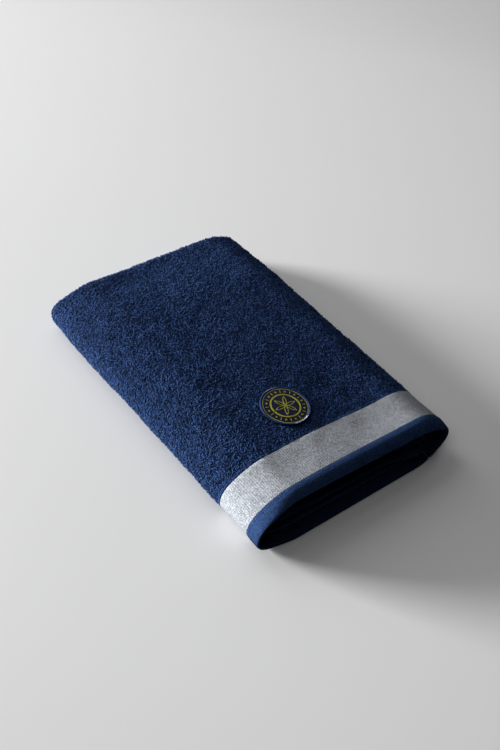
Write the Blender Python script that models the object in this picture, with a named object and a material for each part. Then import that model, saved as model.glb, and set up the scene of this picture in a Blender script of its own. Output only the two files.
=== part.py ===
# Bath towel folded into a pad, with a round badge on its top layer.
# The flat towel is folded crosswise into four panels, then lengthwise into
# thirds, and the stack is settled. Metres, +Z up, hems at -Y, folded end at +Y.

import math

import bmesh
import bpy

# Folded size
PAD_LENGTH = 0.362
PAD_WIDTH = 0.250
LAYER_PITCH = 0.0044
PANELS = 4
THIRDS = 3

# Cloth
TERRY_THICK = 0.0036
BAND_THICK = 0.0013
HEM_THICK = 0.0024
HEM_WIDTH = 0.0155
BAND_WIDTH = 0.0395
STEP_WIDTH = 0.0008

# Crosswise fold: how far inner edges stand back from the outer hem, and the
# spacing of the cross lines that cut every panel
FOLD_SETBACK = 0.014
INNER_HEM_SETBACK = 0.011
FOLD_RADIUS = LAYER_PITCH / 2
WRAP_RADIUS = 1.5 * LAYER_PITCH
CROSS_LINE_STEP = 0.038
CROSS_LINE_MARGIN = 0.008

# Lengthwise fold: rounding of each long side, as arcs from the floor up
FOOT_TURN = 90
SIDE_RADIUS = 0.0245
SIDE_TURN = 50
SHOULDER_RADIUS = 0.0630
SHOULDER_TURN = 40
STACK_DEPTH = PANELS * LAYER_PITCH
PAD_HEIGHT = THIRDS * STACK_DEPTH

# Lengthwise fold: edge of the inner third, its dip over the edge of the bottom
# third, and how far the bottom third's lower panels reach past its top one
INNER_EDGE_X = -0.060
DIP_TURN = 70
CREST_RADIUS = 0.005
TROUGH_RADIUS = 0.020
EDGE_GAP = 0.001
EDGE_SPLAY = 0.011

# The inner panels lie a little askew at the hem end
PANEL_SKEW = 0.05
SKEW_REACH = 0.060

# The lowest layers reach further out at the hem end, away from the two sides
TOE_PUSH = 0.0056
TOE_LEFT, TOE_LEFT_FADE = -0.122, 0.045
TOE_RIGHT, TOE_RIGHT_FADE = 0.108, 0.050
TOE_HEIGHT = 0.040

# Badge
BADGE_X = -0.0222
BADGE_Y = -0.0872
BADGE_LIFT = 0.0004
BADGE_SEGMENTS = 40
BADGE_RADIUS = 0.0255
BADGE_CENTRE_HEIGHT = 0.0022
BADGE_BACK_RING = 0.0130
BADGE_TOP = [
    # ring, radius, height
    ("field middle", 0.0130, 0.0020),
    ("field edge", 0.0228, 0.0017),
    ("rim crest", 0.0238, 0.0020),
    ("rim shoulder", 0.0249, 0.0016),
    ("rim foot", BADGE_RADIUS, 0.0008),
]

# Settling of the folded pad: its far corners stand out, its far end is askew
CORNER_REACH = 0.030
CORNER_PUSH = 0.0045
FAR_SKEW = 0.029

# Soft swells (+) and hollows (-) of the top: centre, reach and rise
SWELLS = [
    # x, y, reach_x, reach_y, rise
    (-0.040, -0.060, 0.060, 0.120, 0.0016),
    (0.066, -0.110, 0.055, 0.060, -0.0040),
    (0.090, 0.040, 0.035, 0.090, -0.0022),
    (-0.020, 0.120, 0.080, 0.070, -0.0012),
    (0.020, -0.181, 0.110, 0.030, 0.0018),
    (0.000, 0.180, 0.300, 0.060, -0.0086),
]

# Bulges of the long sides: side (-1 left, 1 right), centre, reach and push outwards
BULGES = [
    # side, y, reach, push
    (-1, 0.095, 0.050, 0.0022),
    (-1, 0.000, 0.040, -0.0010),
    (1, 0.105, 0.050, 0.0018),
]

SIDE_RISE = SIDE_RADIUS * math.sin(math.radians(SIDE_TURN))
SIDE_RUN = SIDE_RADIUS * (1 - math.cos(math.radians(SIDE_TURN)))
SHOULDER_RISE = SHOULDER_RADIUS * (1 - math.cos(math.radians(SHOULDER_TURN)))
SHOULDER_RUN = SHOULDER_RADIUS * math.sin(math.radians(SHOULDER_TURN))
FOOT_RADIUS = PAD_HEIGHT - SIDE_RISE - SHOULDER_RISE
TOP_RUN = PAD_WIDTH - 2 * (SIDE_RUN + SHOULDER_RUN)
FOOT_X = PAD_WIDTH / 2 - FOOT_RADIUS

DIP_ANGLE = math.radians(DIP_TURN)
DIP_RADII = CREST_RADIUS + TROUGH_RADIUS
DIP_RUN = (STACK_DEPTH - DIP_RADII * (1 - math.cos(DIP_ANGLE))) / math.sin(DIP_ANGLE)
DIP_SPAN = DIP_RADII * math.sin(DIP_ANGLE) + DIP_RUN * math.cos(DIP_ANGLE)
DIP_START_X = FOOT_X - DIP_SPAN
BOTTOM_EDGE_X = DIP_START_X - EDGE_GAP

# Route of the outer face across the pad, counterclockwise in X-Z
ACROSS_START = (INNER_EDGE_X, STACK_DEPTH)
ACROSS_ROUTE = [
    # name, run, radius, turn, steps
    ("inner third", DIP_START_X - INNER_EDGE_X, 0, 0, 3),
    ("dip crest", 0, CREST_RADIUS, -DIP_TURN, 2),
    ("dip slope", DIP_RUN, 0, 0, 1),
    ("dip trough", 0, TROUGH_RADIUS, DIP_TURN, 3),
    ("right foot", 0, FOOT_RADIUS, FOOT_TURN, 4),
    ("right side", 0, SIDE_RADIUS, SIDE_TURN, 3),
    ("right shoulder", 0, SHOULDER_RADIUS, SHOULDER_TURN, 3),
    ("top third", TOP_RUN, 0, 0, 5),
    ("left shoulder", 0, SHOULDER_RADIUS, SHOULDER_TURN, 3),
    ("left side", 0, SIDE_RADIUS, SIDE_TURN, 3),
    ("left foot", 0, FOOT_RADIUS, FOOT_TURN, 4),
    ("bottom third", BOTTOM_EDGE_X + FOOT_X, 0, 0, 3),
]

HEM_Y = -PAD_LENGTH / 2
WRAP_Y = PAD_LENGTH / 2 - WRAP_RADIUS - TERRY_THICK / 2
FOLD_Y = HEM_Y + FOLD_SETBACK + FOLD_RADIUS + TERRY_THICK / 2
INNER_HEM_Y = HEM_Y + INNER_HEM_SETBACK
BORDER = HEM_WIDTH + BAND_WIDTH + 2 * STEP_WIDTH

# Route of the cloth's middle along the pad, in Y and in depth under the outer
# face. Straight runs are cut at common cross lines, arcs into steps, and the
# cloth reaches the row's thickness at the row's end.
ALONG_START = (HEM_Y, TERRY_THICK / 2)
ALONG_ROUTE = [
    # name, run, radius, turn, steps, thick
    ("outer hem", HEM_WIDTH, 0, 0, 0, HEM_THICK),
    ("outer hem's edge", STEP_WIDTH, 0, 0, 0, BAND_THICK),
    ("outer band", BAND_WIDTH, 0, 0, 0, BAND_THICK),
    ("outer terry edge", STEP_WIDTH, 0, 0, 0, TERRY_THICK),
    ("outer panel", WRAP_Y - HEM_Y - BORDER, 0, 0, 0, TERRY_THICK),
    ("outer far fold", 0, WRAP_RADIUS, 180, 6, TERRY_THICK),
    ("innermost panel", WRAP_Y - FOLD_Y, 0, 0, 0, TERRY_THICK),
    ("near fold", 0, FOLD_RADIUS, 180, 4, TERRY_THICK),
    ("third panel", WRAP_Y - FOLD_Y, 0, 0, 0, TERRY_THICK),
    ("inner far fold", 0, FOLD_RADIUS, -180, 4, TERRY_THICK),
    ("second panel", WRAP_Y - INNER_HEM_Y - BORDER, 0, 0, 0, TERRY_THICK),
    ("inner terry edge", STEP_WIDTH, 0, 0, 0, BAND_THICK),
    ("inner band", BAND_WIDTH, 0, 0, 0, BAND_THICK),
    ("inner hem's edge", STEP_WIDTH, 0, 0, 0, HEM_THICK),
    ("inner hem", HEM_WIDTH, 0, 0, 0, HEM_THICK),
]


def cross_lines(start, end):
    """Shares of a straight run along Y at which the common cross lines cut it."""
    low, high = sorted((start, end))
    first = math.ceil((low + CROSS_LINE_MARGIN) / CROSS_LINE_STEP)
    last = math.floor((high - CROSS_LINE_MARGIN) / CROSS_LINE_STEP)
    shares = [(k * CROSS_LINE_STEP - start) / (end - start) for k in range(first, last + 1)]
    return sorted(shares) + [1.0]


def follow(start, rows):
    """Walk a route of straight runs and arcs: points and headings at its stations."""
    u, v = start
    heading = 0.0
    stations = [(u, v, heading, rows[0])]
    for row in rows:
        run, radius, turn, steps = row[1:5]
        if radius == 0:
            end_u = u + run * math.cos(heading)
            end_v = v + run * math.sin(heading)
            shares = cross_lines(u, end_u) if steps == 0 else [k / steps for k in range(1, steps + 1)]
            stations += [(u + (end_u - u) * s, v + (end_v - v) * s, heading, row) for s in shares]
            u, v = end_u, end_v
            continue
        side = math.copysign(radius, turn)
        centre_u = u - side * math.sin(heading)
        centre_v = v + side * math.cos(heading)
        for step in range(1, steps + 1):
            turned = heading + math.radians(turn) * step / steps
            u = centre_u + side * math.sin(turned)
            v = centre_v - side * math.cos(turned)
            stations.append((u, v, turned, row))
        heading = turned
    return stations


def smooth(t):
    t = min(max(t, 0.0), 1.0)
    return t * t * (3 - 2 * t)


def near_end(y):
    """1 at the hems, fading to 0 into the pad."""
    return smooth((HEM_Y + SKEW_REACH - y) / SKEW_REACH)


def settle(x, y, z):
    """The pad's own unevenness, alike for every layer. The underside stays flat."""
    height = 1.0
    for centre_x, centre_y, reach_x, reach_y, rise in SWELLS:
        away = ((x - centre_x) / reach_x) ** 2 + ((y - centre_y) / reach_y) ** 2
        height += rise / PAD_HEIGHT * math.exp(-away)
    settled_x = x
    for side, centre_y, reach, push in BULGES:
        if x * side > 0:
            share = (2 * x / PAD_WIDTH) ** 2 * math.exp(-(((y - centre_y) / reach) ** 2))
            settled_x += side * push * share
    settled_y = y + FAR_SKEW * x * smooth(2 * y / PAD_LENGTH)
    edge = (abs(x) - PAD_WIDTH / 2 + CORNER_REACH) / CORNER_REACH
    if edge > 0:
        settled_y += CORNER_PUSH * edge ** 2 * smooth(2 * y / PAD_LENGTH)
    toe = smooth((x - TOE_LEFT) / TOE_LEFT_FADE) * smooth((TOE_RIGHT - x) / TOE_RIGHT_FADE)
    toe *= smooth(1 - z / TOE_HEIGHT) * smooth(-2 * y / PAD_LENGTH)
    settled_y -= TOE_PUSH * toe
    return settled_x, settled_y, z * height


def sheet_point(across, along, outwards):
    """Folded place of one point of the sheet; outwards is its side and half thickness."""
    y, depth, along_heading = along[:3]
    y += outwards * math.sin(along_heading)
    depth -= outwards * math.cos(along_heading)
    x, z, across_heading, row = across
    if row[0] == "bottom third":
        x += EDGE_SPLAY * (1 - depth / STACK_DEPTH) * (x + FOOT_X) / (BOTTOM_EDGE_X + FOOT_X)
    x -= depth * math.sin(across_heading)
    z += depth * math.cos(across_heading)
    y -= PANEL_SKEW * x * depth / STACK_DEPTH * near_end(y)
    return settle(x, y, z)


def new_material(name, colour, roughness, coat=0.0):
    material = bpy.data.materials.new(name)
    material.use_nodes = True
    shader = material.node_tree.nodes["Principled BSDF"]
    shader.inputs["Base Color"].default_value = (*colour, 1)
    shader.inputs["Roughness"].default_value = roughness
    shader.inputs["Metallic"].default_value = 0
    shader.inputs["Coat Weight"].default_value = coat
    return material


def new_object(name, bm, materials):
    bmesh.ops.recalc_face_normals(bm, faces=bm.faces)
    mesh = bpy.data.meshes.new(name)
    bm.to_mesh(mesh)
    bm.free()
    for material in materials:
        mesh.materials.append(material)
    obj = bpy.data.objects.new(name, mesh)
    bpy.context.scene.collection.objects.link(obj)
    return obj


def make_towel():
    """One sheet of cloth, closed along its four edges, in all its folds."""
    across_line = follow(ACROSS_START, ACROSS_ROUTE)
    along_line = follow(ALONG_START, ALONG_ROUTE)
    bm = bmesh.new()
    faces_of_sheet = []
    for side in (1, -1):
        rows = []
        for along in along_line:
            outwards = side * along[3][5] / 2
            rows.append([bm.verts.new(sheet_point(across, along, outwards)) for across in across_line])
        faces_of_sheet.append(rows)
    outer, inner = faces_of_sheet

    for rows in faces_of_sheet:
        for j in range(len(along_line) - 1):
            in_band = along_line[j + 1][3][0] in ("outer band", "inner band")
            for i in range(len(across_line) - 1):
                face = bm.faces.new((rows[j][i], rows[j][i + 1], rows[j + 1][i + 1], rows[j + 1][i]))
                face.material_index = 1 if in_band else 0
    for i in range(len(across_line) - 1):
        for j in (0, -1):
            bm.faces.new((outer[j][i], outer[j][i + 1], inner[j][i + 1], inner[j][i]))
    for j in range(len(along_line) - 1):
        for i in (0, -1):
            bm.faces.new((outer[j][i], outer[j + 1][i], inner[j + 1][i], inner[j][i]))

    terry = new_material("navy_cotton", (0.016, 0.042, 0.125), 0.95)
    band = new_material("grey_melange_band", (0.40, 0.42, 0.45), 0.9)
    return new_object("towel", bm, [terry, band])


def badge_ring(bm, radius, height):
    """Ring of points at a height above the cloth, following its settled top."""
    ring = []
    for k in range(BADGE_SEGMENTS):
        angle = 2 * math.pi * k / BADGE_SEGMENTS
        x = BADGE_X + radius * math.cos(angle)
        y = BADGE_Y + radius * math.sin(angle)
        ring.append(bm.verts.new(settle(x, y, PAD_HEIGHT + BADGE_LIFT + height)))
    return ring


def make_badge():
    """Round badge with a raised rim, lying on the terry."""
    bm = bmesh.new()
    top = bm.verts.new(settle(BADGE_X, BADGE_Y, PAD_HEIGHT + BADGE_LIFT + BADGE_CENTRE_HEIGHT))
    back = bm.verts.new(settle(BADGE_X, BADGE_Y, PAD_HEIGHT + BADGE_LIFT))
    rings = [badge_ring(bm, radius, height) for name, radius, height in BADGE_TOP]
    rings.append(badge_ring(bm, BADGE_RADIUS, 0))
    rings.append(badge_ring(bm, BADGE_BACK_RING, 0))
    for k in range(BADGE_SEGMENTS):
        after = (k + 1) % BADGE_SEGMENTS
        bm.faces.new((top, rings[0][k], rings[0][after]))
        bm.faces.new((back, rings[-1][after], rings[-1][k]))
        for a, b in zip(rings, rings[1:]):
            bm.faces.new((a[k], b[k], b[after], a[after]))
    enamel = new_material("navy_badge", (0.012, 0.02, 0.07), 0.25, 0.8)
    return new_object("badge", bm, [enamel])


def centre(objects):
    """Shift every piece so that the pad's box stands centred on the origin."""
    xs = [vertex.co.x for obj in objects for vertex in obj.data.vertices]
    ys = [vertex.co.y for obj in objects for vertex in obj.data.vertices]
    for obj in objects:
        for vertex in obj.data.vertices:
            vertex.co.x -= (min(xs) + max(xs)) / 2
            vertex.co.y -= (min(ys) + max(ys)) / 2


def main():
    for obj in list(bpy.data.objects):
        bpy.data.objects.remove(obj, do_unlink=True)
    centre([make_towel(), make_badge()])


main()
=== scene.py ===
import math

import bpy
import numpy as np
from mathutils import Matrix, Vector


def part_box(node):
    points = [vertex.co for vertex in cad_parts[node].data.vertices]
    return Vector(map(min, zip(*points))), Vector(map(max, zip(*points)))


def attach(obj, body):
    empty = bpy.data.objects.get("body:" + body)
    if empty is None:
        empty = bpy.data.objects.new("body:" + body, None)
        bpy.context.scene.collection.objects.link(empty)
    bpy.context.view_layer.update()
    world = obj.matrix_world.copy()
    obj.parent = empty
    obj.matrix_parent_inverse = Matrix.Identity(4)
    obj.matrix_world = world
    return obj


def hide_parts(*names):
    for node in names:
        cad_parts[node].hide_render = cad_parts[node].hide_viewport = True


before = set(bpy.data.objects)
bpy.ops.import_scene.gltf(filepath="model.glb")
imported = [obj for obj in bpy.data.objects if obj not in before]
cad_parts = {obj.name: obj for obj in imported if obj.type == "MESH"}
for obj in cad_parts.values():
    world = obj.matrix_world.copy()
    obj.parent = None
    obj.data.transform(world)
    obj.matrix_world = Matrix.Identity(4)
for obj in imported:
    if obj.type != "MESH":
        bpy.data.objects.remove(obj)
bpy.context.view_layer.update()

chance = np.random.default_rng(41)

# the fold, in metres; the cloth is folded crosswise into four panels, then lengthwise in thirds
fold = {
    "padLength": 0.362,
    "padWidth": 0.250,
    "pitch": 0.0044,          # from one layer to the next
    "panels": 4,
    "thirds": 3,
    "clothThick": 0.0036,     # terry with its pile
    "hemWidth": 0.0155,
    "bandWidth": 0.0395,
    "stepWidth": 0.0008,
    "foldSetback": 0.014,
    "innerHemSetback": 0.011,
    "sideRadius": 0.0245, "sideTurn": 50,
    "shoulderRadius": 0.0630, "shoulderTurn": 40,
    "innerEdgeX": -0.060,
    "dipTurn": 70, "crestRadius": 0.005, "troughRadius": 0.020,
    "edgeGap": 0.001, "edgeSplay": 0.0175,
    "panelSkew": 0.05, "skewReach": 0.060,
    "cornerReach": 0.030, "cornerPush": 0.0045, "farSkew": 0.029,
    "droopReach": 0.0135, "droopTurn": 70,   # the top hem bends down over the layers set back under it
    "droopLeft": -0.125, "droopFade": 0.060, # and straightens towards the left side
    "flapBack": 0.010, "flapFade": 0.055,    # the inner third lies back from the other two
    # soft swells and hollows of the top: x, y, reach in x, reach in y, rise
    "swells": [
        (-0.040, -0.060, 0.060, 0.120, 0.0016),
        (0.066, -0.110, 0.055, 0.060, -0.0040),
        (0.090, 0.040, 0.035, 0.090, -0.0022),
        (-0.020, 0.120, 0.080, 0.070, -0.0012),
        (0.020, -0.181, 0.110, 0.030, 0.0009),
        (0.000, 0.180, 0.300, 0.060, -0.0074),
        (-0.008, 0.045, 0.060, 0.110, 0.0024),
        (-0.045, 0.152, 0.030, 0.012, -0.0010),
        (0.000, 0.164, 0.035, 0.012, -0.0008),
    ],
    # bulges of the long sides: side, y, reach, push outwards
    "bulges": [
        (-1, 0.095, 0.050, 0.0022), (-1, 0.000, 0.040, 0.0004), (1, 0.105, 0.050, 0.0018),
        (-1, 0.045, 0.110, 0.0014), (-1, 0.152, 0.030, 0.0014),
    ],
    # the lowest layers reach further out at the hem end, away from the two sides
    "toePush": 0.0056, "toeHeight": 0.040,
    "toeLeft": -0.122, "toeLeftFade": 0.045, "toeRight": 0.122, "toeRightFade": 0.045,
    "badgeX": -0.0222, "badgeY": -0.0872,
    "waves": [(0.0005, 0.034, 5), (0.00035, 0.013, 6)],   # the cloth's lie: rise, cell, seed
    "aboveFloor": 0.0001,
}

stackDepth = fold["panels"] * fold["pitch"]
padHeight = fold["thirds"] * stackDepth
sideRise = fold["sideRadius"] * math.sin(math.radians(fold["sideTurn"]))
sideRun = fold["sideRadius"] * (1 - math.cos(math.radians(fold["sideTurn"])))
shoulderRise = fold["shoulderRadius"] * (1 - math.cos(math.radians(fold["shoulderTurn"])))
shoulderRun = fold["shoulderRadius"] * math.sin(math.radians(fold["shoulderTurn"]))
footRadius = padHeight - sideRise - shoulderRise
topRun = fold["padWidth"] - 2 * (sideRun + shoulderRun)
footX = fold["padWidth"] / 2 - footRadius
dipAngle = math.radians(fold["dipTurn"])
dipRadii = fold["crestRadius"] + fold["troughRadius"]
dipRun = (stackDepth - dipRadii * (1 - math.cos(dipAngle))) / math.sin(dipAngle)
dipStartX = footX - dipRadii * math.sin(dipAngle) - dipRun * math.cos(dipAngle)
bottomEdgeX = dipStartX - fold["edgeGap"]
foldRadius = fold["pitch"] / 2
wrapRadius = 1.5 * fold["pitch"]
hemY = -fold["padLength"] / 2
wrapY = fold["padLength"] / 2 - wrapRadius - fold["clothThick"] / 2
foldY = hemY + fold["foldSetback"] + foldRadius + fold["clothThick"] / 2
innerHemY = hemY + fold["innerHemSetback"]
border = fold["hemWidth"] + fold["bandWidth"] + 2 * fold["stepWidth"]

# name, run, radius, turn: the outer face across the pad, and the cloth's middle along it
acrossRows = [
    ("inner third", dipStartX - fold["innerEdgeX"], 0, 0),
    ("dip crest", 0, fold["crestRadius"], -fold["dipTurn"]),
    ("dip slope", dipRun, 0, 0),
    ("dip trough", 0, fold["troughRadius"], fold["dipTurn"]),
    ("right foot", 0, footRadius, 90),
    ("right side", 0, fold["sideRadius"], fold["sideTurn"]),
    ("right shoulder", 0, fold["shoulderRadius"], fold["shoulderTurn"]),
    ("top third", topRun, 0, 0),
    ("left shoulder", 0, fold["shoulderRadius"], fold["shoulderTurn"]),
    ("left side", 0, fold["sideRadius"], fold["sideTurn"]),
    ("left foot", 0, footRadius, 90),
    ("bottom third", bottomEdgeX + footX, 0, 0),
]
alongRows = [
    ("outer border", border, 0, 0),
    ("outer panel", wrapY - hemY - border, 0, 0),
    ("outer far fold", 0, wrapRadius, 180),
    ("innermost panel", wrapY - foldY, 0, 0),
    ("near fold", 0, foldRadius, 180),
    ("third panel", wrapY - foldY, 0, 0),
    ("inner far fold", 0, foldRadius, -180),
    ("second panel", wrapY - innerHemY - border, 0, 0),
    ("inner border", border, 0, 0),
]


# where each run and bend of a route starts: gone, u, v, heading, bend
def routeTable(start, rows):
    u, v = start
    heading = gone = 0.0
    table = {}
    for name, run, radius, turn in rows:
        bend = math.copysign(1 / radius, turn) if radius else 0.0
        length = radius * math.radians(abs(turn)) if radius else run
        table[name] = (gone, u, v, heading, bend)
        turned = heading + bend * length
        if bend:
            u += (math.sin(turned) - math.sin(heading)) / bend
            v += (math.cos(heading) - math.cos(turned)) / bend
        else:
            u += length * math.cos(heading)
            v += length * math.sin(heading)
        heading = turned
        gone += length
    return table, gone


# the point, heading and row reached after each distance along a route
def onRoute(table, distance):
    rows = np.array(list(table.values()))
    number = np.clip(np.searchsorted(rows[:, 0], distance, side="right") - 1, 0, None)
    gone, u, v, heading, bend = np.moveaxis(rows[number], -1, 0)
    left = distance - gone
    turned = heading + bend * left
    safe = np.where(bend == 0, 1, bend)
    arcU = (np.sin(turned) - np.sin(heading)) / safe
    arcV = (np.cos(heading) - np.cos(turned)) / safe
    u = u + np.where(bend == 0, left * np.cos(heading), arcU)
    v = v + np.where(bend == 0, left * np.sin(heading), arcV)
    return u, v, turned, number


def smooth(t):
    t = np.clip(t, 0, 1)
    return t * t * (3 - 2 * t)


# the pad's own unevenness, alike for every layer
def settle(x, y, z):
    height = np.ones_like(x)
    for atX, atY, reachX, reachY, rise in fold["swells"]:
        away = ((x - atX) / reachX) ** 2 + ((y - atY) / reachY) ** 2
        height += rise / padHeight * np.exp(-away)
    settledX = x.copy()
    for side, atY, reach, push in fold["bulges"]:
        share = (2 * x / fold["padWidth"]) ** 2 * np.exp(-(((y - atY) / reach) ** 2))
        settledX += np.where(x * side > 0, side * push * share, 0)
    farShare = smooth(2 * y / fold["padLength"])
    settledY = y + fold["farSkew"] * x * farShare
    edge = np.clip((abs(x) - fold["padWidth"] / 2 + fold["cornerReach"]) / fold["cornerReach"], 0, None)
    settledY += fold["cornerPush"] * edge ** 2 * farShare
    toe = smooth((x - fold["toeLeft"]) / fold["toeLeftFade"])
    toe *= smooth((fold["toeRight"] - x) / fold["toeRightFade"])
    toe *= smooth(1 - z / fold["toeHeight"]) * smooth(-2 * y / fold["padLength"])
    settledY -= fold["toePush"] * toe
    return settledX, settledY, z * height


acrossTable, clothWidth = routeTable((fold["innerEdgeX"], stackDepth), acrossRows)
alongTable, clothLength = routeTable((hemY, fold["clothThick"] / 2), alongRows)
acrossNames, alongNames = list(acrossTable), list(alongTable)
bottomThird = acrossNames.index("bottom third")
dipAt = acrossTable["dip crest"][0]
footAt = acrossTable["right foot"][0]
mouthShadeFrom = acrossTable["left foot"][0]

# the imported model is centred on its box, so the badge says how far the fold moved
badgeLow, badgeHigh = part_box("badge")
badgeSettled = settle(*(np.array([v]) for v in (fold["badgeX"], fold["badgeY"], padHeight)))
shiftX = (badgeLow.x + badgeHigh.x) / 2 - badgeSettled[0][0]
shiftY = (badgeLow.y + badgeHigh.y) / 2 - badgeSettled[1][0]


# folded places of points of the cloth: how far across, how far along, and how far
# out from the cloth's middle, towards the side that shows
def foldedPlace(across, along, out):
    y, depth, alongTurn, _ = onRoute(alongTable, along)
    y = y + out * np.sin(alongTurn)
    depth = depth - out * np.cos(alongTurn)
    x, z, acrossTurn, row = onRoute(acrossTable, across)
    splay = fold["edgeSplay"] * (1 - depth / stackDepth) * (x + footX) / (bottomEdgeX + footX)
    x = x + np.where(row == bottomThird, splay, 0)
    # the hem keeps its length as it bends, so its edge comes back a little
    past = np.clip(hemY + fold["droopReach"] - y, 0, None)
    radius = fold["droopReach"] / np.radians(fold["droopTurn"])
    upwards = np.clip(-np.cos(acrossTurn), 0, 1) ** 2 * smooth((x - fold["droopLeft"]) / fold["droopFade"])
    depth = depth + radius * (1 - np.cos(past / radius)) * upwards
    y = y + (past - radius * np.sin(past / radius)) * upwards
    x = x - depth * np.sin(acrossTurn)
    z = z + depth * np.cos(acrossTurn)
    nearEnd = smooth((hemY + fold["skewReach"] - y) / fold["skewReach"])
    y = y + fold["flapBack"] * smooth((dipAt - across) / fold["flapFade"]) * nearEnd
    y = y - fold["panelSkew"] * x * depth / stackDepth * nearEnd
    x, y, z = settle(x, y, z)
    return np.stack([x + shiftX, y + shiftY, z], -1)


# a seeded soft noise over a plane, from -1 to 1, with one random value per cell
def softNoise(x, y, cell, seed):
    table = np.random.default_rng(seed).uniform(-1, 1, (256, 256))
    gx, gy = x / cell + 40, y / cell + 40
    ix, iy = np.floor(gx).astype(int), np.floor(gy).astype(int)
    fx, fy = smooth(gx - ix), smooth(gy - iy)
    ix, iy, jx, jy = ix % 256, iy % 256, (ix + 1) % 256, (iy + 1) % 256
    low = table[ix, iy] * (1 - fx) + table[jx, iy] * fx
    high = table[ix, jy] * (1 - fx) + table[jx, jy] * fx
    return low * (1 - fy) + high * fy


# slow waves of the cloth's lie, for the ground and the pile on it alike
def lieOf(across, along):
    return sum(rise * softNoise(across, along, cell, seed) for rise, cell, seed in fold["waves"])


# small helpers for the node trees
def newGroup(name, inputs, outputs):
    group = bpy.data.node_groups.new(name, "ShaderNodeTree")
    for label, kind, value in inputs:
        socket = group.interface.new_socket(name=label, in_out="INPUT", socket_type=kind)
        socket.default_value = value
    for label, kind in outputs:
        group.interface.new_socket(name=label, in_out="OUTPUT", socket_type=kind)
    start = group.nodes.new("NodeGroupInput")
    end = group.nodes.new("NodeGroupOutput")
    return group, start, end


def addNode(tree, kind, links=None, **settings):
    node = tree.nodes.new("ShaderNode" + kind)
    for key, value in settings.items():
        setattr(node, key, value)
    for socket, value in (links or {}).items():
        target = node.inputs[socket]
        if isinstance(value, bpy.types.NodeSocket):
            tree.links.new(value, target)
        else:
            target.default_value = value
    return node


def maths(tree, operation, a, b=0.0, clamp=False):
    node = addNode(tree, "Math", {0: a, 1: b}, operation=operation)
    node.use_clamp = clamp
    return node.outputs[0]


def blendColour(tree, share, first, second, way="MIX"):
    node = addNode(tree, "Mix", data_type="RGBA", blend_type=way)
    for socket, value in ((node.inputs[0], share), (node.inputs[6], first), (node.inputs[7], second)):
        if isinstance(value, bpy.types.NodeSocket):
            tree.links.new(value, socket)
        else:
            socket.default_value = value
    return node.outputs[2]


def fromRange(tree, value, low, high, toLow, toHigh):
    links = {"Value": value, "From Min": low, "From Max": high, "To Min": toLow, "To Max": toHigh}
    return addNode(tree, "MapRange", links).outputs[0]


def newMaterial(name, roughness, sheen=0.0, coat=0.0, coatRoughness=0.1, specular=0.5):
    material = bpy.data.materials.new(name)
    material.use_nodes = True
    shader = material.node_tree.nodes["Principled BSDF"]
    shader.inputs["Roughness"].default_value = roughness
    shader.inputs["Sheen Weight"].default_value = sheen
    shader.inputs["Sheen Roughness"].default_value = 0.5
    shader.inputs["Coat Weight"].default_value = coat
    shader.inputs["Coat Roughness"].default_value = coatRoughness
    shader.inputs["Specular IOR Level"].default_value = specular
    return material, material.node_tree, shader


def useGroup(tree, group, **values):
    node = tree.nodes.new("ShaderNodeGroup")
    node.node_tree = group
    for label, value in values.items():
        socket = node.inputs[label]
        if isinstance(value, bpy.types.NodeSocket):
            tree.links.new(value, socket)
        else:
            socket.default_value = value
    return node


def addBump(tree, shader, height, strength, distance):
    bump = addNode(tree, "Bump", {"Height": height, "Strength": strength, "Distance": distance})
    tree.links.new(bump.outputs[0], shader.inputs["Normal"])


# mottle: yarn that took the dye unevenly, in slow patches and in single yarns
def makeMottleGroup():
    group, start, end = newGroup("yarnMottle", [
        ("Dark", "NodeSocketColor", (0, 0, 0, 1)),
        ("Light", "NodeSocketColor", (1, 1, 1, 1)),
        ("Patch Size", "NodeSocketFloat", 0.03),
        ("Yarn Size", "NodeSocketFloat", 0.002),
        ("Yarn Share", "NodeSocketFloat", 0.5),
    ], [("Colour", "NodeSocketColor"), ("Mask", "NodeSocketFloat")])
    place = addNode(group, "TexCoord").outputs["Object"]
    patch = addNode(group, "TexNoise", {
        "Vector": place, "Detail": 2.0,
        "Scale": maths(group, "DIVIDE", 1.0, start.outputs["Patch Size"]),
    }).outputs["Fac"]
    yarn = addNode(group, "TexNoise", {
        "Vector": place, "Detail": 1.0,
        "Scale": maths(group, "DIVIDE", 1.0, start.outputs["Yarn Size"]),
    }).outputs["Fac"]
    patch = fromRange(group, patch, 0.3, 0.7, 0.0, 1.0)
    yarn = fromRange(group, yarn, 0.3, 0.7, 0.0, 1.0)
    share = addNode(group, "Mix", data_type="FLOAT")
    group.links.new(start.outputs["Yarn Share"], share.inputs[0])
    group.links.new(patch, share.inputs[2])
    group.links.new(yarn, share.inputs[3])
    mask = share.outputs[0]
    group.links.new(mask, end.inputs["Mask"])
    colour = blendColour(group, mask, start.outputs["Dark"], start.outputs["Light"])
    group.links.new(colour, end.inputs["Colour"])
    return group


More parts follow.
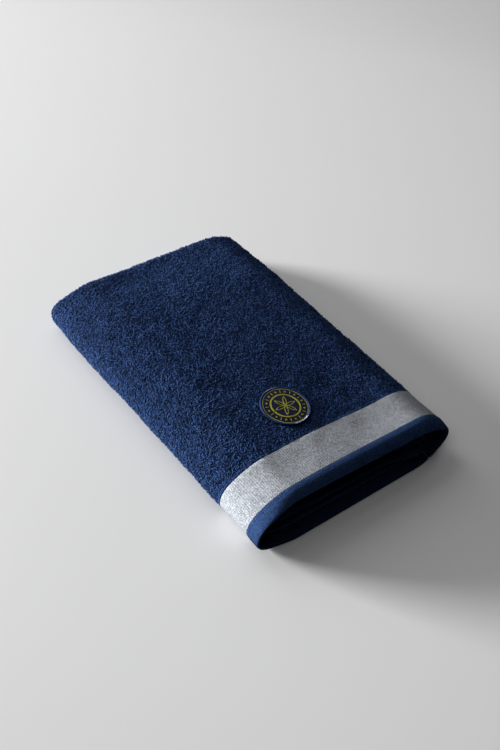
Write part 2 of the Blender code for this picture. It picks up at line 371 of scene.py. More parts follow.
# plain weave: ribs across the cloth's length crossed by finer threads, from the
# cloth's own flat coordinates in metres
def makeWeaveGroup():
    group, start, end = newGroup("flatWeave", [
        ("Rib Width", "NodeSocketFloat", 0.0012),
        ("Thread Width", "NodeSocketFloat", 0.0009),
        ("Wander", "NodeSocketFloat", 0.0004),
    ], [("Ribs", "NodeSocketFloat"), ("Threads", "NodeSocketFloat"), ("Height", "NodeSocketFloat"),
        ("Crossing", "NodeSocketFloat"), ("From End", "NodeSocketFloat")])
    flat = addNode(group, "UVMap", uv_map="clothFlat").outputs[0]
    drift = addNode(group, "TexNoise", {"Vector": flat, "Scale": 260.0, "Detail": 1.0}).outputs["Fac"]
    drift = maths(group, "SUBTRACT", drift, 0.5)
    drift = maths(group, "MULTIPLY", drift, start.outputs["Wander"])
    split = addNode(group, "SeparateXYZ", {"Vector": flat})
    otherEnd = maths(group, "SUBTRACT", clothLength, split.outputs["Y"])
    group.links.new(maths(group, "MINIMUM", split.outputs["Y"], otherEnd), end.inputs["From End"])
    waves, cells = [], []
    for axis, width in (("X", "Rib Width"), ("Y", "Thread Width")):
        at = maths(group, "ADD", split.outputs[axis], drift)
        turns = maths(group, "DIVIDE", at, start.outputs[width])
        wave = maths(group, "SINE", maths(group, "MULTIPLY", turns, 2 * math.pi))
        waves.append(fromRange(group, wave, -1.0, 1.0, 0.0, 1.0))
        cells.append(maths(group, "FLOOR", maths(group, "MULTIPLY", turns, 2.0)))
    ribs, threads = waves
    cell = addNode(group, "CombineXYZ", {"X": cells[0], "Y": cells[1]}).outputs[0]
    crossing = addNode(group, "TexWhiteNoise", {"Vector": cell}).outputs["Value"]
    group.links.new(crossing, end.inputs["Crossing"])
    group.links.new(ribs, end.inputs["Ribs"])
    group.links.new(threads, end.inputs["Threads"])
    over = maths(group, "MULTIPLY", ribs, maths(group, "ADD", maths(group, "MULTIPLY", threads, 0.6), 0.4))
    group.links.new(over, end.inputs["Height"])
    return group


yarnMottle = makeMottleGroup()
flatWeave = makeWeaveGroup()
print("shader groups ready")

# the cloth itself: what each zone stands out by, and its colours
towel = {
    "groundOut": 0.0008,      # the ground cloth's lift where pile stands on it
    "hiddenOut": 0.0015,      # where layers face each other
    "bandOut": 0.0011,
    "hemOut": 0.0016,
    "columnStep": 0.0050,
    "bendColumnStep": 0.0030,
    "rowStep": 0.0050,
    "hiddenRowStep": 0.0150,
    "bandRowStep": 0.0040, "foldRowStep": 0.0022, "innerFoldRowStep": 0.0014,
    "lieFrom": 0.006, "lieFade": 0.030, "liePast": 0.004,
    "groundDark": (0.004, 0.010, 0.034, 1),
    "groundLight": (0.010, 0.026, 0.080, 1),
    "hemDark": (0.010, 0.024, 0.070, 1),
    "hemLight": (0.026, 0.058, 0.150, 1),
    "bandDark": (0.09, 0.10, 0.12, 1),
    "bandLight": (0.48, 0.505, 0.54, 1),
    "paintedMouthShadeLevel": 0.40,      # painted shade: how dark the hem is painted inside the mouth
    "mouthShadeFade": 0.012, "hemBackShadeFade": 0.001,
    "paintedLitEdge": 0.0016, "paintedLitEdgeFade": 0.0010, "paintedLitEdgeShare": 0.75,   # the inner hem's edge, kept pale against the painted shade: a painted highlight
    "stitchIn": 0.0026,       # the hem's seam from the hem's inner edge
    "seamReach": 0.0007,      # how far hem threads reach between the band's ribs
}
seamAt = fold["hemWidth"] + fold["stepWidth"]


def stops(start, end, step):
    count = max(1, round(abs(end - start) / step))
    return list(np.linspace(start, end, count + 1)[:-1])


# stations across: each run and bend of the route cut evenly
def acrossStops():
    found = []
    begins = [row[0] for row in acrossTable.values()] + [clothWidth]
    for number, name in enumerate(acrossNames):
        bent = acrossTable[name][4] != 0
        step = towel["bendColumnStep"] if bent else towel["columnStep"]
        found += stops(begins[number], begins[number + 1], step)
    return np.array(found + [clothWidth])


# stations along, with how far the two faces stand from the cloth's middle
def alongStops():
    hem, band, step = fold["hemWidth"], fold["bandWidth"], fold["stepWidth"]
    groundOut, hiddenOut = towel["groundOut"], towel["hiddenOut"]
    hemOut, bandOut = towel["hemOut"], towel["bandOut"]
    hemRows = [
        (0.0000, 0.45), (0.0004, 0.80), (0.0012, 1.00), (0.0050, 1.02), (0.0090, 1.02),
        (hem - towel["stitchIn"] - 0.0008, 1.00), (hem - towel["stitchIn"], 0.80),
        (hem - towel["stitchIn"] + 0.0008, 0.92), (hem - 0.0005, 0.80), (hem, 0.66),
    ]
    rows = [(at, hemOut * share, hemOut * share) for at, share in hemRows]
    rows.append((hem + step * 0.6, bandOut, bandOut))
    for at in stops(hem + step, hem + step + band, towel["bandRowStep"]):
        rows.append((at, bandOut, bandOut))
    rows.append((hem + step + band, bandOut, bandOut))
    rows.append((border, groundOut * 0.9, hiddenOut))
    begins = {name: row[0] for name, row in alongTable.items()}
    ends = dict(zip(alongNames, list(begins.values())[1:] + [clothLength]))
    for at in stops(border, ends["outer panel"], towel["rowStep"])[1:]:
        rows.append((at, groundOut, hiddenOut))
    for at in stops(begins["outer far fold"], ends["outer far fold"], towel["foldRowStep"]):
        rows.append((at, groundOut, hiddenOut))
    for name in alongNames[3:-1]:
        step = towel["hiddenRowStep"] if alongTable[name][4] == 0 else towel["innerFoldRowStep"]
        for at in stops(begins[name], ends[name], step):
            rows.append((at, hiddenOut, hiddenOut))
    # the cloth's other end mirrors this end's band and hem
    mirrored = [(clothLength - at, out, inside) for at, out, inside in rows if at < border - 1e-6]
    rows.append((clothLength - border, hiddenOut, hiddenOut))
    return rows + mirrored[::-1]


def makeTowelCloth():
    across = acrossStops()
    rows = alongStops()
    along = np.array([row[0] for row in rows])
    outwards = np.array([row[1] for row in rows])
    inwards = np.array([row[2] for row in rows])
    gridAlong, gridAcross = np.meshgrid(along, across, indexing="ij")
    lie = lieOf(gridAcross, gridAlong)
    shown = gridAlong < alongTable["innermost panel"][0] + towel["liePast"]
    lie = np.where(shown, lie, 0) * smooth((gridAlong - towel["lieFrom"]) / towel["lieFade"])
    outer = foldedPlace(gridAcross, gridAlong, outwards[:, None] + lie)
    inner = foldedPlace(gridAcross, gridAlong, -inwards[:, None] + lie)
    outer[..., 2] = np.maximum(outer[..., 2], fold["aboveFloor"])
    inner[..., 2] = np.maximum(inner[..., 2], fold["aboveFloor"])
    lines, columns = gridAlong.shape
    verts = np.concatenate([outer.reshape(-1, 3), inner.reshape(-1, 3)])
    number = np.arange(lines * columns).reshape(lines, columns)
    low, high = number[:-1, :], number[1:, :]
    outerFaces = np.stack([low[:, :-1], high[:, :-1], high[:, 1:], low[:, 1:]], -1).reshape(-1, 4)
    innerFaces = outerFaces[:, ::-1] + lines * columns
    edges = []
    for line, turn in ((0, 1), (lines - 1, -1)):
        a, b = number[line, :-1], number[line, 1:]
        quad = np.stack([a, b, b + lines * columns, a + lines * columns], -1)
        edges.append(quad[:, ::turn])
    for column, turn in ((0, -1), (columns - 1, 1)):
        a, b = number[:-1, column], number[1:, column]
        quad = np.stack([a, b, b + lines * columns, a + lines * columns], -1)
        edges.append(quad[:, ::turn])
    faces = np.concatenate([outerFaces, innerFaces] + edges)
    mesh = bpy.data.meshes.new("towelCloth")
    mesh.from_pydata(verts.tolist(), [], faces.tolist())

    middle = (along[:-1] + along[1:]) / 2
    fromEnd = np.minimum(middle, clothLength - middle)
    # which finish a row of faces wears: 0 terry, 1 band, 2 hem
    kind = np.where(fromEnd < border - fold["stepWidth"] * 0.5, 1, 0)
    kind = np.where(fromEnd < seamAt - 0.0002, 2, kind)
    sheetKind = np.repeat(kind, columns - 1)
    selvedge = np.where(kind == 1, 2, kind)
    edgeKind = np.concatenate([np.full(2 * (columns - 1), 2), selvedge, selvedge])
    mesh.polygons.foreach_set("material_index", np.concatenate([sheetKind, sheetKind, edgeKind]))
    mesh.polygons.foreach_set("use_smooth", np.ones(len(faces), bool))

    # the thirds inside the mouth and the hem's back lie pressed in the fold; painted shade darkens them
    # there
    fade = towel["mouthShadeFade"]
    paintedMouthShade = np.maximum(smooth((footAt - gridAcross) / fade), smooth((gridAcross - mouthShadeFrom) / fade))
    paintedInnerShade = np.maximum(paintedMouthShade, smooth((border - gridAlong) / towel["hemBackShadeFade"]))
    # painted highlight: the inner hem is painted dark except at its very edge, which is left pale as a lit
    # line
    paintedLitEdge = smooth((gridAlong - clothLength + towel["paintedLitEdge"]) / towel["paintedLitEdgeFade"])
    paintedMouthShade = np.where(gridAlong > clothLength / 2, 1 - towel["paintedLitEdgeShare"] * paintedLitEdge, paintedMouthShade)
    paintedMouthShade = np.concatenate([paintedMouthShade.ravel(), paintedInnerShade.ravel()]).astype(np.float32)
    mesh.attributes.new("paintedMouthShade", "FLOAT", "POINT").data.foreach_set("value", paintedMouthShade)

    # the cloth's flat coordinates for the weaves, and a plain lay-out of both faces
    flat = np.stack([gridAcross, gridAlong], -1).reshape(-1, 2)
    flat = np.concatenate([flat, flat])
    corner = np.empty(len(mesh.loops), np.int32)
    mesh.loops.foreach_get("vertex_index", corner)
    layer = mesh.uv_layers.new(name="clothFlat")
    layer.uv.foreach_set("vector", flat[corner].astype(np.float32).ravel())
    spread = flat / (2 * clothWidth + 0.002, clothLength)
    spread[lines * columns:, 0] += 0.5
    edgeCorner = np.repeat(np.arange(len(faces)), 4) >= 2 * len(outerFaces)
    placed = spread[corner]
    placed[edgeCorner] = spread[corner[edgeCorner] % (lines * columns)]
    layer = mesh.uv_layers.new(name="OFBake")
    layer.uv.foreach_set("vector", placed.astype(np.float32).ravel())
    piece = bpy.data.objects.new("towelCloth", mesh)
    bpy.context.scene.collection.objects.link(piece)
    mesh.validate()
    return piece


def makeGroundMaterial():
    material, tree, shader = newMaterial("terryGround", 0.95, specular=0.05)
    mottle = useGroup(tree, yarnMottle, **{
        "Dark": towel["groundDark"], "Light": towel["groundLight"],
        "Patch Size": 0.02, "Yarn Size": 0.0016, "Yarn Share": 0.7})
    tree.links.new(mottle.outputs["Colour"], shader.inputs["Base Color"])
    addBump(tree, shader, mottle.outputs["Mask"], 0.9, 0.0012)
    return material


def makeBandMaterial():
    material, tree, shader = newMaterial("melangeBand", 0.9, specular=0.06)
    weave = useGroup(tree, flatWeave, **{"Rib Width": 0.0023, "Thread Width": 0.0022, "Wander": 0.0003})
    mottle = useGroup(tree, yarnMottle, **{"Patch Size": 0.030, "Yarn Size": 0.0007, "Yarn Share": 0.85})
    fleck = maths(tree, "ADD", maths(tree, "MULTIPLY", weave.outputs["Crossing"], 0.52),
                  maths(tree, "MULTIPLY", mottle.outputs["Mask"], 0.48))
    melange = blendColour(tree, fleck, towel["bandDark"], towel["bandLight"])
    shade = fromRange(tree, weave.outputs["Height"], 0.0, 1.0, 0.74, 1.16)
    melange = blendColour(tree, 1.0, melange, addNode(
        tree, "CombineColor", {0: shade, 1: shade, 2: shade}).outputs[0], "MULTIPLY")
    # the hem's threads reach into the band between its ribs
    reach = maths(tree, "ADD", maths(tree, "MULTIPLY", weave.outputs["Ribs"], towel["seamReach"]), seamAt)
    hemShare = maths(tree, "LESS_THAN", weave.outputs["From End"], reach)
    colour = blendColour(tree, hemShare, melange, towel["hemDark"])
    tree.links.new(colour, shader.inputs["Base Color"])
    height = maths(tree, "ADD", weave.outputs["Height"], mottle.outputs["Mask"])
    addBump(tree, shader, height, 0.08, 0.0002)
    return material


def makeHemMaterial():
    material, tree, shader = newMaterial("hemCloth", 0.9, specular=0.05)
    weave = useGroup(tree, flatWeave, **{"Rib Width": 0.0021, "Thread Width": 0.0015, "Wander": 0.0005})
    mottle = useGroup(tree, yarnMottle, **{
        "Dark": towel["hemDark"], "Light": towel["hemLight"],
        "Patch Size": 0.020, "Yarn Size": 0.0012, "Yarn Share": 0.8})
    shade = fromRange(tree, weave.outputs["Ribs"], 0.0, 1.0, 0.78, 1.08)
    shade = maths(tree, "MULTIPLY", shade, fromRange(tree, weave.outputs["Crossing"], 0.0, 1.0, 0.55, 1.30))
    # painted shade: the hem is painted darker inside the mouth and on its back
    paintedMouthShade = addNode(tree, "Attribute", attribute_name="paintedMouthShade").outputs["Fac"]
    shade = maths(tree, "MULTIPLY", shade, fromRange(tree, paintedMouthShade, 0.0, 1.0, 1.0, towel["paintedMouthShadeLevel"]))
    colour = blendColour(tree, 1.0, mottle.outputs["Colour"], addNode(
        tree, "CombineColor", {0: shade, 1: shade, 2: shade}).outputs[0], "MULTIPLY")
    tree.links.new(colour, shader.inputs["Base Color"])
    addBump(tree, shader, weave.outputs["Height"], 0.5, 0.0004)
    return material


towelCloth = makeTowelCloth()
for material in (makeGroundMaterial(), makeBandMaterial(), makeHemMaterial()):
    towelCloth.data.materials.append(material)
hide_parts("towel")
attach(towelCloth, "root")
print("towel cloth:", len(towelCloth.data.polygons), "faces")

# the pile: sizes in metres
pile = {
    "spacing": 0.00160,
    "rightSpacing": 0.0018,   # the side away from the light
    "underSpacing": 0.0048,
    "foldSpacing": 0.0019,
    "length": (0.0024, 0.0040),
    "width": (0.00105, 0.00150),
    "rootOut": 0.0002,
    "tipOut": (0.0010, 0.0026),
    "curl": 1.5,              # most that a loop turns from end to end, in radians
    "badgeClear": 0.0247,
    "insideReach": 0.060,
    "lowReach": 0.012, "lowShare": 0.30,   # how far from the band the loops lie low, and by how much
    "edgeSpacing": 0.0013, "edgeWidth": 0.0022, "edgeRise": 1.05, "edgeWander": 0.0005,
    "edgeFrom": 0.0004, "fieldFrom": 0.0006, "selvedgeClear": 0.001,
    # where one piece ends and the next begins: past the right shoulder, shares of the
    # top's flat run, and before the left side
    "rightSeam": 0.022, "topSeams": (0.33, 0.80), "leftSeam": 0.008,
    "underStretch": 1.5, "foldStretch": 0.9,
    "insideBefore": 0.012, "insidePast": 0.044,
    "turnShare": 0.6, "clumpTurn": 3.0, "clumpRise": 0.0003,
    "flankDrop": 0.00075, "flankShade": 0.12,   # a loop's lower sides, under its back: how far they drop, and how dark they are painted as shade
    "dark": (0.0255, 0.059, 0.164, 1),
    "light": (0.0425, 0.097, 0.266, 1),
}


# one loop as a closed curved grain of three sides: shares along it, half width and rise
grainRings = [(0.0, 0.0, 0.0), (0.20, 0.85, 0.62), (0.50, 1.0, 1.0), (0.80, 0.85, 0.62), (1.0, 0.0, 0.0)]


# loops of the pile at these places of the cloth, as one piece
def makePile(name, across, along, lengthScale=1.0, riseScale=1.0):
    count = len(across)

    def draw(low, high):
        return chance.uniform(low, high, count)

    clump = softNoise(across, along, 0.0060, 11)
    clumpTurn = softNoise(across, along, 0.0090, 12)
    heading = draw(0, 2 * math.pi) * pile["turnShare"] + clumpTurn * pile["clumpTurn"]
    length = draw(*pile["length"]) * lengthScale
    curl = draw(-pile["curl"], pile["curl"])
    width = draw(*pile["width"]) / 2
    nearBand = smooth(1 - (along - border) / pile["lowReach"])
    tip = draw(*pile["tipOut"]) * riseScale * (1 - pile["lowShare"] * nearBand) + pile["clumpRise"] * clump
    lie = lieOf(across, along)
    tint = draw(0, 1)
    places, paintedShades = [], []
    for share, wide, rise in grainRings:
        turn = heading + curl * (share - 0.5)
        reach = (share - 0.5) * length
        # the grain follows a shallow arc about its middle
        bow = curl * length * 0.5 * ((share - 0.5) ** 2 - 0.08)
        atX = reach * np.cos(heading) - bow * np.sin(heading)
        atY = reach * np.sin(heading) + bow * np.cos(heading)
        out = pile["rootOut"] + (tip - pile["rootOut"]) * rise + lie
        corners = [(0.0, 0.0)] if wide == 0 else [(-1.0, -1.0), (0.0, 1.0), (1.0, -1.0)]
        for side, lift in corners:
            offX = -np.sin(turn) * side * width * wide
            offY = np.cos(turn) * side * width * wide
            drop = 0.0 if lift > 0 or wide == 0 else -pile["flankDrop"]
            place = foldedPlace(across + atX + offX, along + atY + offY, out + drop)
            places.append(place)
            # painted shade: the grain's ends and lower flanks are dark, and its back grows lighter as it
            # rises
            paintedShades.append(np.full(count, 0.0 if wide == 0 else (rise if lift > 0 else pile["flankShade"])))
    verts = np.stack(places, 1)
    verts[..., 2] = np.maximum(verts[..., 2], fold["aboveFloor"])
    perGrain = verts.shape[1]
    # tip, ring, ring, ring, tip
    rings = [[0], [1, 2, 3], [4, 5, 6], [7, 8, 9], [10]]
    quads, tris = [], []
    for k in range(3):
        m = (k + 1) % 3
        tris.append((0, rings[1][m], rings[1][k]))
        tris.append((10, rings[3][k], rings[3][m]))
        for a, b in ((1, 2), (2, 3)):
            quads.append((rings[a][k], rings[a][m], rings[b][m], rings[b][k]))
    offset = (np.arange(count) * perGrain)[:, None, None]
    triFaces = (np.array(tris)[None] + offset).reshape(-1, 3)
    quadFaces = (np.array(quads)[None] + offset).reshape(-1, 4)
    mesh = bpy.data.meshes.new(name)
    mesh.from_pydata(verts.reshape(-1, 3).tolist(), [], triFaces.tolist() + quadFaces.tolist())
    mesh.polygons.foreach_set("use_smooth", np.ones(len(mesh.polygons), bool))
    shade = np.stack(paintedShades, 1).ravel().astype(np.float32)
    mesh.attributes.new("paintedPileShade", "FLOAT", "POINT").data.foreach_set("value", shade)
    tints = np.repeat(tint, perGrain).astype(np.float32)
    mesh.attributes.new("yarnTint", "FLOAT", "POINT").data.foreach_set("value", tints)
    # each loop has its own small cell of the lay-out
    side = math.ceil(math.sqrt(count))
    cellX, cellY = np.arange(count) % side, np.arange(count) // side
    inCell = np.array([(0.5, 0.05), (0.1, 0.3), (0.5, 0.3), (0.9, 0.3), (0.1, 0.5), (0.5, 0.5),
                       (0.9, 0.5), (0.1, 0.7), (0.5, 0.7), (0.9, 0.7), (0.5, 0.95)])
    spread = (np.stack([cellX, cellY], -1)[:, None, :] + inCell[None]) / side
    corner = np.empty(len(mesh.loops), np.int32)
    mesh.loops.foreach_get("vertex_index", corner)
    layer = mesh.uv_layers.new(name="OFBake")
    layer.uv.foreach_set("vector", spread.reshape(-1, 2)[corner].astype(np.float32).ravel())
    piece = bpy.data.objects.new(name, mesh)
    bpy.context.scene.collection.objects.link(piece)
    piece.data.materials.append(pileMaterial)
    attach(piece, "root")
    print(name + ":", count, "loops,", count * (len(tris) + 2 * len(quads)), "triangles")
    return piece


# jittered places over part of the flat cloth
def scatter(acrossFrom, acrossTo, alongFrom, alongTo, spacing):
    columns = max(1, round((acrossTo - acrossFrom) / spacing))
    lines = max(1, round((alongTo - alongFrom) / spacing))
    grid = np.stack(np.meshgrid(np.arange(columns), np.arange(lines), indexing="ij"), -1).reshape(-1, 2)
    grid = grid + 0.5 + chance.uniform(-0.42, 0.42, grid.shape)
    return (acrossFrom + grid[:, 0] * (acrossTo - acrossFrom) / columns,
            alongFrom + grid[:, 1] * (alongTo - alongFrom) / lines)


def makePileMaterial():
    material, tree, shader = newMaterial("pileYarn", 0.9, specular=0.08)
    # painted shade: each loop is painted darker towards its roots and under its back
    tip = addNode(tree, "Attribute", attribute_name="paintedPileShade").outputs["Fac"]
    tint = addNode(tree, "Attribute", attribute_name="yarnTint").outputs["Fac"]
    mottle = useGroup(tree, yarnMottle, **{
        "Dark": pile["dark"], "Light": pile["light"],
        "Patch Size": 0.02, "Yarn Size": 0.0025, "Yarn Share": 0.5})
    rise = fromRange(tree, tip, 0.1, 1.0, 0.02, 1.0)
    vary = fromRange(tree, tint, 0.0, 1.0, 0.35, 1.80)
    shade = maths(tree, "MULTIPLY", rise, vary)
    colour = blendColour(tree, 1.0, mottle.outputs["Colour"], addNode(
        tree, "CombineColor", {0: shade, 1: shade, 2: shade}).outputs[0], "MULTIPLY")
    tree.links.new(colour, shader.inputs["Base Color"])
    fibre = addNode(tree, "TexNoise", {
        "Vector": addNode(tree, "TexCoord").outputs["Object"], "Scale": 1500.0, "Detail": 2.0})
    addBump(tree, shader, fibre.outputs["Fac"], 0.35, 0.0003)
    return material


pileMaterial = makePileMaterial()
startOf = {name: row[0] for name, row in {**acrossTable, **alongTable}.items()}
alongEdge = border + pile["fieldFrom"]
farFold = startOf["outer far fold"]
innermost = startOf["innermost panel"]
fieldEnd = farFold - pile["edgeFrom"]
rightSeam = startOf["right shoulder"] + pile["rightSeam"]
topSeams = [startOf["top third"] + topRun * share for share in pile["topSeams"]]
leftSeam = startOf["left side"] - pile["leftSeam"]
bounds = [
    ("pileRight", startOf["right foot"], rightSeam, pile["rightSpacing"]),
    ("pileTopRight", rightSeam, topSeams[0], pile["spacing"]),
    ("pileTopMiddle", topSeams[0], topSeams[1], pile["spacing"]),
    ("pileTopLeft", topSeams[1], leftSeam, pile["spacing"]),
    ("pileLeft", leftSeam, startOf["bottom third"], pile["spacing"]),
    ("pileUnder", startOf["bottom third"], clothWidth, pile["underSpacing"]),
]
for name, acrossFrom, acrossTo, spacing in bounds:
    across, along = scatter(acrossFrom, acrossTo, alongEdge, fieldEnd, spacing)
    place = foldedPlace(across, along, np.full(len(across), fold["clothThick"] / 2))
    fromBadge = np.hypot(place[:, 0] - fold["badgeX"] - shiftX, place[:, 1] - fold["badgeY"] - shiftY)
    keep = (fromBadge > pile["badgeClear"]) | (place[:, 2] < padHeight / 2)
    stretch = pile["underStretch"] if name == "pileUnder" else 1.0
    makePile(name, across[keep], along[keep], stretch)
clear, edgeStart = pile["selvedgeClear"], border - pile["edgeFrom"]
across, along = scatter(clear, clothWidth - clear, farFold, innermost, pile["foldSpacing"])
makePile("pileFarFolds", across, along, pile["foldStretch"])
# the first rows of loops lean out over the band
across, along = scatter(
    clear, clothWidth - clear, edgeStart, edgeStart + pile["edgeWidth"], pile["edgeSpacing"])
along += pile["edgeWander"] * softNoise(across, along * 0, 0.0042, 21)
makePile("pileEdge", across, along, 1.0, pile["edgeRise"])
# the hollow at the left side, seen from behind
across, along = scatter(
    startOf["left shoulder"] - pile["insideBefore"], startOf["bottom third"] + pile["insidePast"],
    innermost, innermost + pile["insideReach"], pile["foldSpacing"])
makePile("pileInside", across, along, pile["foldStretch"])
print("pile done")

# the badge: a gloss dome in a raised rim
badge = {
    "lift": 0.0004,
    # radius, height over the cloth: centre, field, groove, rim crest, rim foot
    "profile": [
        (0.0000, 0.00150), (0.0060, 0.00149), (0.0120, 0.00145), (0.0180, 0.00138), (0.0220, 0.00130),
        (0.0227, 0.00124), (0.0231, 0.00132), (0.0236, 0.00170), (0.0241, 0.00188), (0.0246, 0.00180),
        (0.0250, 0.00150), (0.0253, 0.00105), (0.0255, 0.00055), (0.0255, 0.00010), (0.0252, 0.00000),
    ],
    "segments": 96,
    "fieldEnd": 0.0229, "glossEnd": 0.0251,   # the rim's gloss lies between these radii
    "lineWidth": 0.00046, "lineOver": 0.00006, "lineUnder": 0.00008,
    "ringRadii": (0.0222, 0.0150, 0.0141), "petals": 6, "petalRadius": 0.0118,
    # studs and bars between the rings: how many, turned by, and where they lie
    "marks": 24, "marksTurn": 0.13, "studAt": 0.0186, "studRadius": 0.00075, "bar": (0.0170, 0.0202),
    "field": (0.0010, 0.0012, 0.010, 1), "fieldDeep": (0.002, 0.003, 0.018, 1),
    "line": (0.42, 0.43, 0.02, 1), "linePale": (0.58, 0.58, 0.05, 1),
    "rim": (0.0015, 0.015, 0.058, 1), "rimPale": (0.003, 0.024, 0.090, 1),
}


# a point of the badge at a height over the cloth's top
def onBadge(x, y, height):
    x = np.asarray(x, float) + fold["badgeX"]
    y = np.asarray(y, float) + fold["badgeY"]
    z = np.full_like(x, padHeight + badge["lift"]) + height
    x, y, z = settle(x, y, z)
    return np.stack([x + shiftX, y + shiftY, z], -1)


def makeBadgeBody():
    turns = np.arange(badge["segments"]) * 2 * math.pi / badge["segments"]
    rings = [r for r in badge["profile"] if r[0] > 0]
    verts = [onBadge([0.0], [0.0], badge["profile"][0][1])]
    for radius, height in rings:
        verts.append(onBadge(radius * np.cos(turns), radius * np.sin(turns), height))
    verts.append(onBadge([0.0], [0.0], 0.0))
    verts = np.concatenate(verts)
    n, faces, finish = badge["segments"], [], []
    for k in range(n):
        m = (k + 1) % n
        faces.append((0, 1 + k, 1 + m))
        finish.append(0)
        for ring in range(len(rings) - 1):
            a, b = 1 + ring * n, 1 + (ring + 1) * n
            faces.append((a + k, b + k, b + m, a + m))
            finish.append(1 if badge["fieldEnd"] < rings[ring + 1][0] < badge["glossEnd"] else 0)
        last = 1 + (len(rings) - 1) * n
        faces.append((len(verts) - 1, last + m, last + k))
        finish.append(0)
    mesh = bpy.data.meshes.new("badgeBody")
    mesh.from_pydata(verts.tolist(), [], faces)
    mesh.polygons.foreach_set("material_index", finish)
    mesh.polygons.foreach_set("use_smooth", np.ones(len(faces), bool))
    piece = bpy.data.objects.new("badgeBody", mesh)
    bpy.context.scene.collection.objects.link(piece)
    return piece


def fieldHeight(radius):
    radii, heights = zip(*badge["profile"][:6])
    return np.interp(radius, radii, heights)


# drawn lines as thin closed ribs that follow the badge's face
def makeBadgeLines():
    width = badge["lineWidth"] / 2
    paths = []
    full = np.linspace(0, 2 * math.pi, 97)[:-1]
    for radius in badge["ringRadii"]:
        paths.append((np.stack([radius * np.cos(full), radius * np.sin(full)], -1), True, 1.0))
    petalRadius = badge["petalRadius"]
    for k in range(badge["petals"]):  # a compass rosette: arcs about points of its own circle
        turn = k * math.pi / (badge["petals"] / 2)
        centre = petalRadius * np.array([math.cos(turn), math.sin(turn)])
        facing = turn + math.pi
        sweep = np.linspace(facing - math.pi / 3, facing + math.pi / 3, 25)
        arc = centre + petalRadius * np.stack([np.cos(sweep), np.sin(sweep)], -1)
        paths.append((arc, False, 0.85))
    for k in range(badge["marks"]):  # round studs and short bars by turns, between the rings
        turn = k * math.pi / (badge["marks"] / 2) + badge["marksTurn"]
        spot = np.array([math.cos(turn), math.sin(turn)])
        if k % 2:
            dots = np.linspace(0, 2 * math.pi, 11)[:-1]
            stud = badge["studRadius"] * np.stack([np.cos(dots), np.sin(dots)], -1)
            paths.append((spot * badge["studAt"] + stud, True, 0.9))
        else:
            paths.append((np.linspace(*badge["bar"], 5)[:, None] * spot, False, 0.9))
    verts, faces = [], []
    for path, closed, wide in paths:
        ahead = np.roll(path, -1, 0) - np.roll(path, 1, 0)
        if not closed:
            ahead[0], ahead[-1] = path[1] - path[0], path[-1] - path[-2]
        ahead /= np.linalg.norm(ahead, axis=1)[:, None]
        sideways = np.stack([-ahead[:, 1], ahead[:, 0]], -1) * width * wide
        first = len(verts)
        for at, side in zip(path, sideways):
            for share in (-1, -0.6, 0.6, 1):
                spot = at + side * share
                lift = badge["lineOver"] if abs(share) < 1 else -badge["lineUnder"]
                height = fieldHeight(np.hypot(*spot)) + lift
                verts.append(onBadge([spot[0]], [spot[1]], height)[0])
        count = len(path)
        for k in range(count if closed else count - 1):
            a, b = first + 4 * k, first + 4 * ((k + 1) % count)
            for s in range(4):
                t = (s + 1) % 4
                faces.append((a + s, b + s, b + t, a + t))
        if not closed:
            last = first + 4 * (count - 1)
            faces.append((first + 0, first + 1, first + 2, first + 3))
            faces.append((last + 3, last + 2, last + 1, last + 0))
    mesh = bpy.data.meshes.new("badgeLines")
    mesh.from_pydata([tuple(v) for v in verts], [], faces)
    piece = bpy.data.objects.new("badgeLines", mesh)
    bpy.context.scene.collection.objects.link(piece)
    return piece


# a poured gloss with a slight ripple, in one or two depths of colour
def makeGlossMaterial(name, colour, second, roughness, coat, rippleSize, specular=0.5):
    material, tree, shader = newMaterial(name, roughness, coat=coat, coatRoughness=0.06, specular=specular)
    mottle = useGroup(tree, yarnMottle, **{
        "Dark": colour, "Light": second, "Patch Size": 0.006, "Yarn Size": 0.0012, "Yarn Share": 0.25})
    tree.links.new(mottle.outputs["Colour"], shader.inputs["Base Color"])
    ripple = addNode(tree, "TexNoise", {
        "Vector": addNode(tree, "TexCoord").outputs["Object"], "Scale": 1 / rippleSize, "Detail": 1.0})
    addBump(tree, shader, ripple.outputs["Fac"], 0.15, 0.0002)
    return material


badgeBody = makeBadgeBody()
badgeBody.data.materials.append(makeGlossMaterial(
    "badgeField", badge["field"], badge["fieldDeep"], 0.55, 0.0, 0.004, 0.04))
badgeBody.data.materials.append(makeGlossMaterial(
    "badgeRim", badge["rim"], badge["rimPale"], 0.5, 0.3, 0.003, 0.03))
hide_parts("badge")
badgeLines = makeBadgeLines()
badgeLines.data.materials.append(makeGlossMaterial(
    "badgeLine", badge["line"], badge["linePale"], 0.6, 0.0, 0.002, 0.05))
for piece in (badgeBody, badgeLines):
    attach(piece, "root")
print("badge done")

# floor, lights and air
studio = {
    "floorSize": 12.0, "floorLines": 13, "floorDrop": 0.0001,
    "floorColour": (0.80, 0.80, 0.80, 1),
    "worldLight": 0.015, "worldSeen": 0.55,
    "airColour": (0.95, 0.97, 1.0, 1),
    "floorGlowFrom": 1.3, "floorGlowTo": 4.0,
    # softboxes: azimuth and elevation in degrees, distance, width, height, power
    "softboxes": {
        "keySoftbox": (130, 7.0, 5.0, 1.65, 1.5, 1060.0),
        "backSoftbox": (103, 40, 3.4, 2.0, 2.2, 31.0),
        "topSoftbox": (48, 43, 3.4, 3.4, 3.2, 14.0),
        "leftSoftbox": (190, 52, 2.4, 1.2, 1.2, 8.0),
    },
    "badgeLight": (57, 18, 3.0, 0.9, 0.6, 70.0),   # for the badge's rim only
}


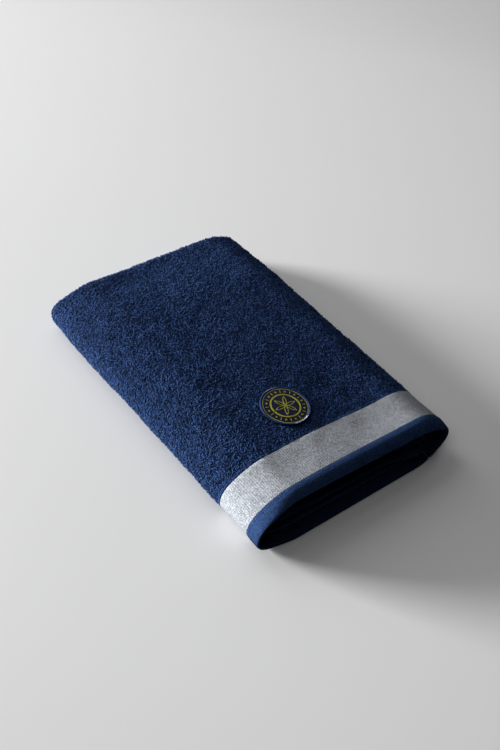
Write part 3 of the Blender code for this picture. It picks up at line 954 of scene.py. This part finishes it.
def makeFloor():
    half = studio["floorSize"] / 2
    n = studio["floorLines"]
    steps = np.linspace(-half, half, n)
    verts = [(x, y, -studio["floorDrop"]) for y in steps for x in steps]
    starts = [r * n + c for r in range(n - 1) for c in range(n - 1)]
    faces = [(k, k + 1, k + n + 1, k + n) for k in starts]
    mesh = bpy.data.meshes.new("studioFloor")
    mesh.from_pydata(verts, [], faces)
    floor = bpy.data.objects.new("studioFloor", mesh)
    bpy.context.scene.collection.objects.link(floor)
    material, tree, shader = newMaterial("studioFloor", 0.17, specular=0.5)
    speck = addNode(tree, "TexNoise", {
        "Vector": addNode(tree, "TexCoord").outputs["Object"], "Scale": 3.0, "Detail": 3.0}).outputs["Fac"]
    tone = fromRange(tree, speck, 0.0, 1.0, 0.97, 1.0)
    colour = blendColour(tree, 1.0, studio["floorColour"], addNode(
        tree, "CombineColor", {0: tone, 1: tone, 2: tone}).outputs[0], "MULTIPLY")
    tree.links.new(colour, shader.inputs["Base Color"])
    # painted glow: far out the floor glows in the air's colour, seen by the camera only, and melts into the
    # air
    place = addNode(tree, "TexCoord").outputs["Object"]
    away = addNode(tree, "VectorMath", {0: place}, operation="LENGTH").outputs["Value"]
    paintedFloorGlow = fromRange(tree, away, studio["floorGlowFrom"], studio["floorGlowTo"], 0.0, studio["worldSeen"])
    paintedFloorGlow = maths(tree, "MULTIPLY", paintedFloorGlow, addNode(tree, "LightPath").outputs["Is Camera Ray"])
    shader.inputs["Emission Color"].default_value = studio["airColour"]
    tree.links.new(paintedFloorGlow, shader.inputs["Emission Strength"])
    floor.data.materials.append(material)


def addSoftbox(name, azimuth, elevation, distance, width, height, power):
    data = bpy.data.lights.new(name, "AREA")
    data.shape = "RECTANGLE"
    data.size, data.size_y = width, height
    data.energy = power
    turn, tilt = math.radians(azimuth), math.radians(elevation)
    out = Vector((math.cos(turn) * math.cos(tilt), math.sin(turn) * math.cos(tilt), math.sin(tilt)))
    light = bpy.data.objects.new(name, data)
    light.location = out * distance
    light.rotation_euler = out.to_track_quat("Z", "Y").to_euler()
    bpy.context.scene.collection.objects.link(light)
    return light


makeFloor()
for name, settings in studio["softboxes"].items():
    addSoftbox(name, *settings)
# a small light that only the badge catches
badgeLight = addSoftbox("badgeLight", *studio["badgeLight"])
badgeOnly = bpy.data.collections.new("badgeOnly")
badgeOnly.objects.link(badgeBody)
badgeLight.light_linking.receiver_collection = badgeOnly
world = bpy.data.worlds.new("studioAir")
world.use_nodes = True
air = world.node_tree.nodes["Background"]
air.inputs["Color"].default_value = studio["airColour"]
seen = addNode(world.node_tree, "LightPath").outputs["Is Camera Ray"]
strength = fromRange(world.node_tree, seen, 0.0, 1.0, studio["worldLight"], studio["worldSeen"])
world.node_tree.links.new(strength, air.inputs["Strength"])
bpy.context.scene.world = world
bpy.context.scene.view_settings.view_transform = "Standard"

# the camera: angles in degrees, distances in metres
view = {
    "lens": 45.34,
    "azimuth": -45.34675, "elevation": 43.44213, "roll": 10.26998,
    "distance": 0.9993, "asideRight": 0.00949, "asideUp": 0.00893,
}


def makeCamera():
    azimuth, elevation, roll = (math.radians(view[k]) for k in ("azimuth", "elevation", "roll"))
    back = Vector((math.sin(azimuth) * math.cos(elevation), -math.cos(azimuth) * math.cos(elevation),
                   math.sin(elevation)))
    right = (-back).cross(Vector((0, 0, 1))).normalized()
    up = right.cross(-back)
    rolledRight = math.cos(roll) * right + math.sin(roll) * up
    rolledUp = -math.sin(roll) * right + math.cos(roll) * up
    place = rolledRight * view["asideRight"] + rolledUp * view["asideUp"] + back * view["distance"]
    place += Vector((shiftX, shiftY, 0))
    data = bpy.data.cameras.new("studioCamera")
    data.lens = view["lens"]
    data.clip_start, data.clip_end = 0.05, 30.0
    camera = bpy.data.objects.new("studioCamera", data)
    camera.matrix_world = Matrix((
        (rolledRight.x, rolledUp.x, back.x, place.x),
        (rolledRight.y, rolledUp.y, back.y, place.y),
        (rolledRight.z, rolledUp.z, back.z, place.z),
        (0, 0, 0, 1)))
    bpy.context.scene.collection.objects.link(camera)
    bpy.context.scene.camera = camera


makeCamera()
print("scene ready")
